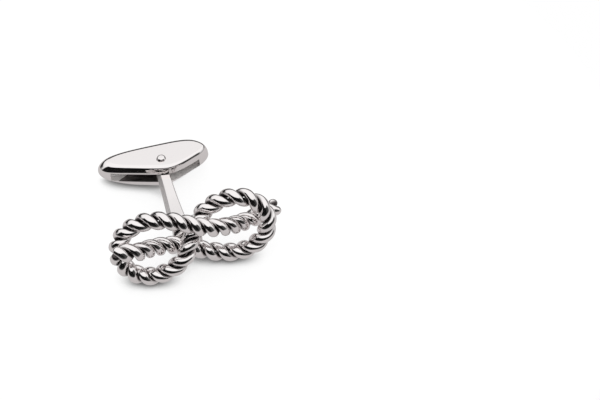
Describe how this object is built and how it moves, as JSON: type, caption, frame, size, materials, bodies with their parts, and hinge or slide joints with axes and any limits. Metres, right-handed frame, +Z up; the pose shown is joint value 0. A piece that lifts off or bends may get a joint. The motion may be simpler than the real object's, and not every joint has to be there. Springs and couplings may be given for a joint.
{
  "type": "cufflink",
  "caption": "Cufflink with a figure-eight knot of twisted two-wire rope, a tapered post and a swivelling boat-shaped toggle.",
  "frame": {"origin": "bottom centre of the bounding box, on the table that the cufflink lies on", "axes": "+X along the knot's length to its right, +Y from the knot to the toggle, +Z up from the table"},
  "size_m": [0.0234, 0.0224, 0.0105],
  "materials": {
    "silver": "polished",
    "spring_steel": "satin"
  },
  "bodies": {
    "knot_and_post": {"knot_wire_1": "silver", "knot_wire_2": "silver", "back_plate": "silver", "post": "silver"},
    "toggle": {"toggle_body": "silver", "pivot_pin": "silver", "leaf_spring": "spring_steel"}
  },
  "joints": [
    {"name": "toggle_swivel", "type": "hinge", "parent": "knot_and_post", "child": "toggle", "pos_m": [-0.00244, 0.00733, 0.00217], "axis": [-0.0455, 0.1994, 0.9789], "range_deg": [-75, 80]}
  ]
}
